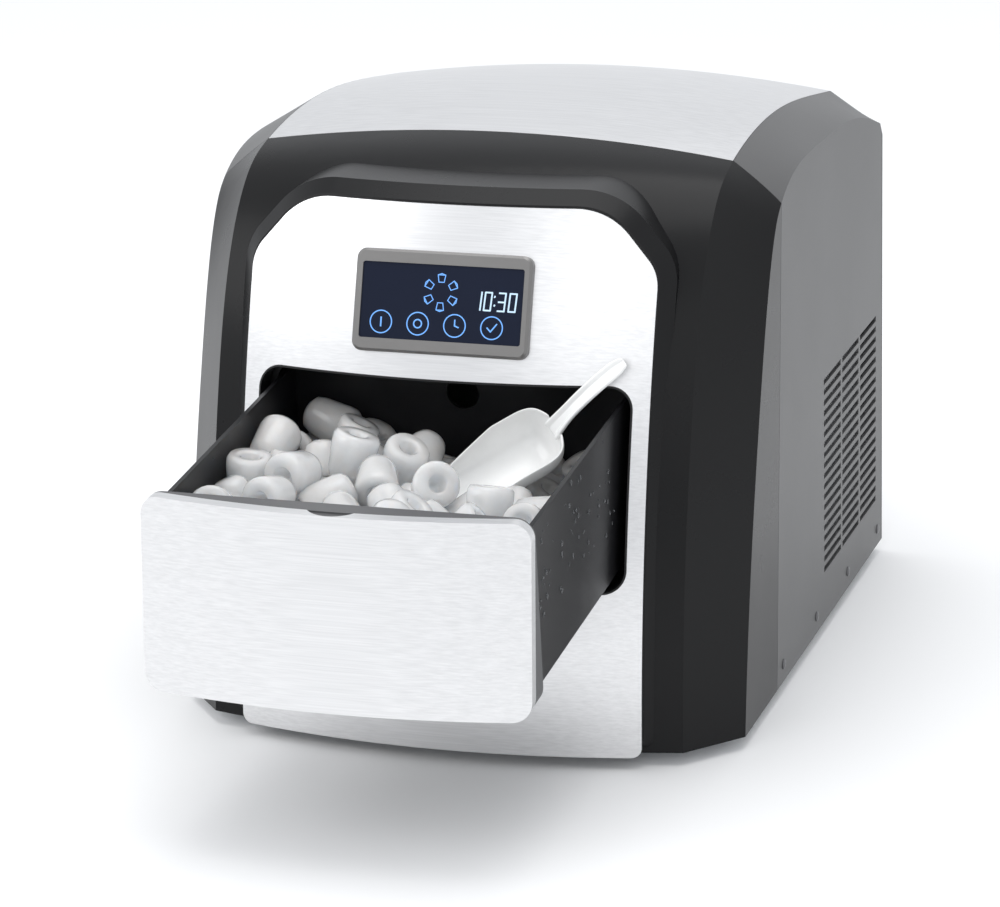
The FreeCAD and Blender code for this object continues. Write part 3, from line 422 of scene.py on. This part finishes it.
def thimble(bm, wide, tall, bore, segments=26):
    """One thimble, standing on its rounded closed end about its own middle."""
    narrow = wide * 0.82
    outline = [(0, 0), (narrow * 0.55, 0.0005), (narrow * 0.86, 0.003), (narrow, 0.0075),
               (wide * 0.97, tall * 0.8), (wide * 0.96, tall * 0.93), (wide * 0.86, tall),
               (bore * 1.25, tall * 0.995), (bore, tall * 0.96), (bore * 0.85, tall * 0.45),
               (bore * 0.5, tall * 0.34), (0, tall * 0.31)]
    ring = [bm.verts.new((radius, 0, height - tall / 2)) for radius, height in outline]
    edges = [bm.edges.new(pair) for pair in zip(ring, ring[1:])]
    bmesh.ops.spin(bm, geom=ring + edges, axis=(0, 0, 1), cent=(0, 0, 0), steps=segments,
                   angle=math.tau, use_merge=True)
    bmesh.ops.remove_doubles(bm, verts=bm.verts, dist=1e-6)
    bmesh.ops.recalc_face_normals(bm, faces=bm.faces)


random.seed(5)
scene = bpy.context.scene
made_for_fall = []


def solid_wall(name, low, high, place):
    """A fixed slab that the falling ice can't pass."""
    mesh = bpy.data.meshes.new(name)
    bm = bmesh.new()
    corners = bmesh.ops.create_cube(bm, size=1)["verts"]
    low, high = Vector(low), Vector(high)
    bmesh.ops.scale(bm, vec=high - low, verts=corners)
    bmesh.ops.translate(bm, vec=(low + high) / 2, verts=corners)
    bm.to_mesh(mesh)
    bm.free()
    slab = bpy.data.objects.new(name, mesh)
    slab.matrix_world = place
    scene.collection.objects.link(slab)
    made_for_fall.append(slab)
    return slab


air, thick, above = 0.0006, 0.06, 0.6
inner = tub_half - tub_wall - air
front_in, back_in = tub_front + tub_wall + air, tub_back - tub_wall - air
walls = [
    solid_wall("fall_floor", (-0.3, -0.1, -thick), (0.3, 0.4, tub_wall + air), tub),
    solid_wall("fall_left", (-inner - thick, -0.1, -thick), (-inner, 0.4, above), tub),
    solid_wall("fall_right", (inner, -0.1, -thick), (inner + thick, 0.4, above), tub),
    solid_wall("fall_front", (-0.3, front_in - thick, -thick), (0.3, front_in, above), tub),
    solid_wall("fall_back", (-0.3, back_in, -thick), (0.3, back_in + thick, above), tub),
]
scoop_heel = Matrix.Translation((0.071, -0.092, 0.188))
scoop_yaw = Matrix.Rotation(math.radians(-36), 4, "Z")
scoop_roll = Matrix.Rotation(math.radians(35), 4, "Y")
scoop_pitch = Matrix.Rotation(math.radians(29), 4, "X")
scoop_place = scoop_heel @ scoop_yaw @ scoop_roll @ scoop_pitch
over_scoop = Matrix.Translation((0, 0, 0.02)) @ scoop_heel @ scoop_yaw
walls.append(solid_wall("fall_scoop", (-0.0225, -0.079, -0.0015), (0.0225, 0.003, 0.03), scoop_place))
walls.append(solid_wall("fall_above_scoop", (-0.03, -0.09, 0.0), (0.03, 0.01, 0.4), over_scoop))

thimbles = []
columns, rows, layers = 6, 6, 6
margin_x, margin_y, first_level, layer_rise = 0.0175, 0.018, 0.022, 0.037
for layer in range(layers):
    for column in range(columns):
        for row in range(rows):
            under_scoop = column > 2 and row in (3, 4) and layer > 0
            thin_top = layer > 3 and (column > 6 - layer // 2 or (column + row) % 3 == 0)
            if under_scoop or thin_top:
                continue
            mesh = bpy.data.meshes.new("thimble")
            bm = bmesh.new()
            wide, tall, bore = (random.uniform(*between) for between in (
                (0.0128, 0.0146), (0.026, 0.031), (0.0045, 0.0062)))
            thimble(bm, wide, tall, bore)
            bm.to_mesh(mesh)
            bm.free()
            one = bpy.data.objects.new("thimble", mesh)
            x = -inner + margin_x + column * (2 * inner - 2 * margin_x) / (columns - 1)
            x += random.uniform(-0.001, 0.001)
            y = front_in + margin_y + row * (back_in - front_in - 2 * margin_y) / (rows - 1)
            turn = Matrix.Rotation(random.uniform(0, math.tau), 4, "Z")
            turn = turn @ Matrix.Rotation(random.uniform(0, math.pi), 4, "X")
            one.matrix_world = tub @ Matrix.Translation((x, y, first_level + layer * layer_rise)) @ turn
            scene.collection.objects.link(one)
            thimbles.append(one)
            made_for_fall.append(one)

bpy.ops.rigidbody.world_add()
world = scene.rigidbody_world
world.substeps_per_frame, world.solver_iterations = 8, 15
for group, kind in ((walls, "PASSIVE"), (thimbles, "ACTIVE")):
    for one in group:
        bpy.context.view_layer.objects.active = one
        bpy.ops.rigidbody.object_add(type=kind)
        body = one.rigid_body
        body.collision_shape = "CONVEX_HULL"
        body.use_margin = True
        body.collision_margin = 0.0002
        body.friction, body.restitution = 0.35, 0.05
        if kind == "ACTIVE":
            body.mass, body.linear_damping, body.angular_damping = 0.015, 0.25, 0.4
end_frame = 90
world.point_cache.frame_start, world.point_cache.frame_end = 1, end_frame
for step in range(1, end_frame + 1):
    scene.frame_set(step)
settled = bpy.context.evaluated_depsgraph_get()
heap = bmesh.new()
towards_room = Vector((0.25, -0.8, 0.55))
slack, headroom, near_wall = 0.002, 0.0975, 0.02
for one in thimbles:
    place = one.evaluated_get(settled).matrix_world.copy()
    lying = tub.inverted() @ place
    spot = lying.translation
    off_walls = abs(spot.x) < inner - near_wall and front_in + near_wall < spot.y < back_in - near_wall
    faces_away = (place.to_3x3() @ Vector((0, 0, 1))).dot(towards_room) < 0.15
    if off_walls and faces_away and random.random() < 0.8:
        lying = lying @ Matrix.Rotation(math.pi, 4, "X")
    one.data.transform(lying)
    points = [vert.co for vert in one.data.vertices]
    held = all(abs(p.x) < inner + slack and front_in - slack < p.y < back_in + slack for p in points)
    if held and min(p.z for p in points) > 0 and max(p.z for p in points) < headroom:
        heap.from_mesh(one.data)
bmesh.ops.transform(heap, matrix=tub, verts=heap.verts)
scene.frame_set(1)
for one in made_for_fall:
    bpy.data.objects.remove(one)
bpy.ops.rigidbody.world_remove()
crease(heap, 70)
ice = finish("cloudy_ice", (0.95, 0.96, 0.97), 0.16, 0.1, 0.0002, 240, 70, Subsurface_Weight=1.0,
             Subsurface_Scale=0.02, Subsurface_Radius=(0.9, 1.0, 1.1), Transmission_Weight=0.4, IOR=1.31,
             Coat_Weight=0.5)
piece("ice_thimbles", heap, ice, "drawer", ("ice_heap",))


# ----------------------------------------------------------------------------------------- scoop
# The scoop is one white moulding: a round-backed trough with a raked open lip, and a flat handle
# with a raised bead along both edges that springs from its heel. It lies loose on the ice.

bowl = bmesh.new()
scoop_half, scoop_deep, scoop_long = 0.0196, 0.0238, 0.076
across_steps, along_steps = 20, 18
bmesh.ops.create_grid(bowl, x_segments=across_steps, y_segments=along_steps, size=1)
for vert in bowl.verts:
    u, v = vert.co.x, (vert.co.y + 1) / 2
    close = max(0.0, (v - 0.72) / 0.28)
    shrink = math.sqrt(max(0.0, 1 - close ** 2.6))
    angle = u * math.pi / 2
    rim = scoop_deep * (0.50 + 0.5 * min(1, v / 0.5) ** 0.8)
    spread = (0.82 + 0.18 * min(1, v * 2)) * (0.35 + 0.65 * shrink)
    x = scoop_half * math.copysign(abs(math.sin(angle)) ** 0.8, angle) * spread
    z = rim - rim * max(0.0, math.cos(angle)) ** 0.75 * (0.1 + 0.9 * shrink)
    y = -scoop_long * (1 - v) + 0.004 * (1 - v) * abs(u) ** 2 * 3
    vert.co = (x, y - 0.001, z)
bmesh.ops.recalc_face_normals(bowl, faces=bowl.faces)
bmesh.ops.transform(bowl, matrix=scoop_place, verts=bowl.verts)
scoop_bowl = piece("scoop_bowl", bowl, white, "scoop", ("ice_scoop",))
wall = scoop_bowl.modifiers.new("wall", "SOLIDIFY")
wall.thickness, wall.offset = 0.0016, 0
smooth = scoop_bowl.modifiers.new("smooth", "SUBSURF")
smooth.levels = smooth.render_levels = 2

handle = bmesh.new()
handle_steps = 14
bmesh.ops.create_grid(handle, x_segments=8, y_segments=handle_steps, size=1)
arc = [Vector((0, -0.004, 0.017)), Vector((0, 0.012, 0.033)), Vector((0, 0.030, 0.042)),
       Vector((0, 0.0485, 0.0475))]
for vert in handle.verts:
    u, t = vert.co.x, (vert.co.y + 1) / 2
    s = 1 - t
    point = arc[0] * s ** 3 + arc[1] * 3 * s * s * t + arc[2] * 3 * s * t * t + arc[3] * t ** 3
    along = (arc[1] - arc[0]) * s * s + (arc[2] - arc[1]) * 2 * s * t + (arc[3] - arc[2]) * t * t
    up = Vector((1, 0, 0)).cross(along).normalized()
    half = 0.0052 * (1 - 0.45 * max(0, (t - 0.86) / 0.14) ** 2) + 0.0016 * max(0, 0.25 - t) * 4
    bead = 0.0016 if abs(u) > 0.7 else 0
    vert.co = point + Vector((u * half, 0, 0)) + up * bead
bmesh.ops.recalc_face_normals(handle, faces=handle.faces)
bmesh.ops.transform(handle, matrix=scoop_place, verts=handle.verts)
scoop_handle = piece("scoop_handle", handle, white, "scoop")
body = scoop_handle.modifiers.new("body", "SOLIDIFY")
body.thickness, body.offset = 0.0026, 0
smooth = scoop_handle.modifiers.new("smooth", "SUBSURF")
smooth.levels = smooth.render_levels = 2


# --------------------------------------------------------------------------- floor, light, camera
# The machine stands on a plain white sweep, lit by a bright sky, a soft lamp from the left, one
# from above and a weak one from the front.

sweep = bmesh.new()
bmesh.ops.create_grid(sweep, x_segments=2, y_segments=2, size=9)
floor_mesh = bpy.data.meshes.new("floor")
sweep.to_mesh(floor_mesh)
sweep.free()
floor_mesh.materials.append(finish("white_sweep", (0.95, 0.95, 0.95), 0.8, 0.02, 0.00001, 900, 0.15))
floor = bpy.data.objects.new("floor", floor_mesh)
floor.location = (0, 0, cad_low.z - 0.0002)
scene.collection.objects.link(floor)

sky = bpy.data.worlds.new("studio")
scene.world = sky
sky.use_nodes = True
sky.node_tree.nodes["Background"].inputs["Color"].default_value = (0.95, 0.97, 1.0, 1.0)
sky.node_tree.nodes["Background"].inputs["Strength"].default_value = 0.95

for name, place, aim, size, power in (
        ("key_left", (-1.7, -1.5, 1.6), (0, 0, 0.2), 1.4, 15),
        ("top_soft", (0.1, 0.1, 2.3), (0, 0, 0.2), 1.6, 20),
        ("front_fill", (0.3, -2.4, 1.3), (0, -0.2, 0.2), 1.0, 3)):
    lamp = bpy.data.lights.new(name, "AREA")
    lamp.size, lamp.energy = size, power
    lamp_object = bpy.data.objects.new(name, lamp)
    lamp_object.location = place
    lamp_object.rotation_mode = "QUATERNION"
    lamp_object.rotation_quaternion = (Vector(aim) - Vector(place)).to_track_quat("-Z", "Y")
    scene.collection.objects.link(lamp_object)

lens = bpy.data.cameras.new("camera")
lens.lens, lens.sensor_width = 150.2, 36
lens.clip_start, lens.clip_end = 0.1, 50
camera = bpy.data.objects.new("camera", lens)
stand = Matrix.Translation((0.745, -2.2955, 0.9168))
aim = Matrix.Rotation(math.radians(17.886), 4, "Z") @ Matrix.Rotation(math.radians(90 - 17.673), 4, "X")
camera.matrix_world = stand @ aim @ Matrix.Rotation(math.radians(-1.561), 4, "Z")
scene.collection.objects.link(camera)
scene.camera = camera
scene.view_settings.view_transform = "Standard"
scene.view_settings.look = "None"
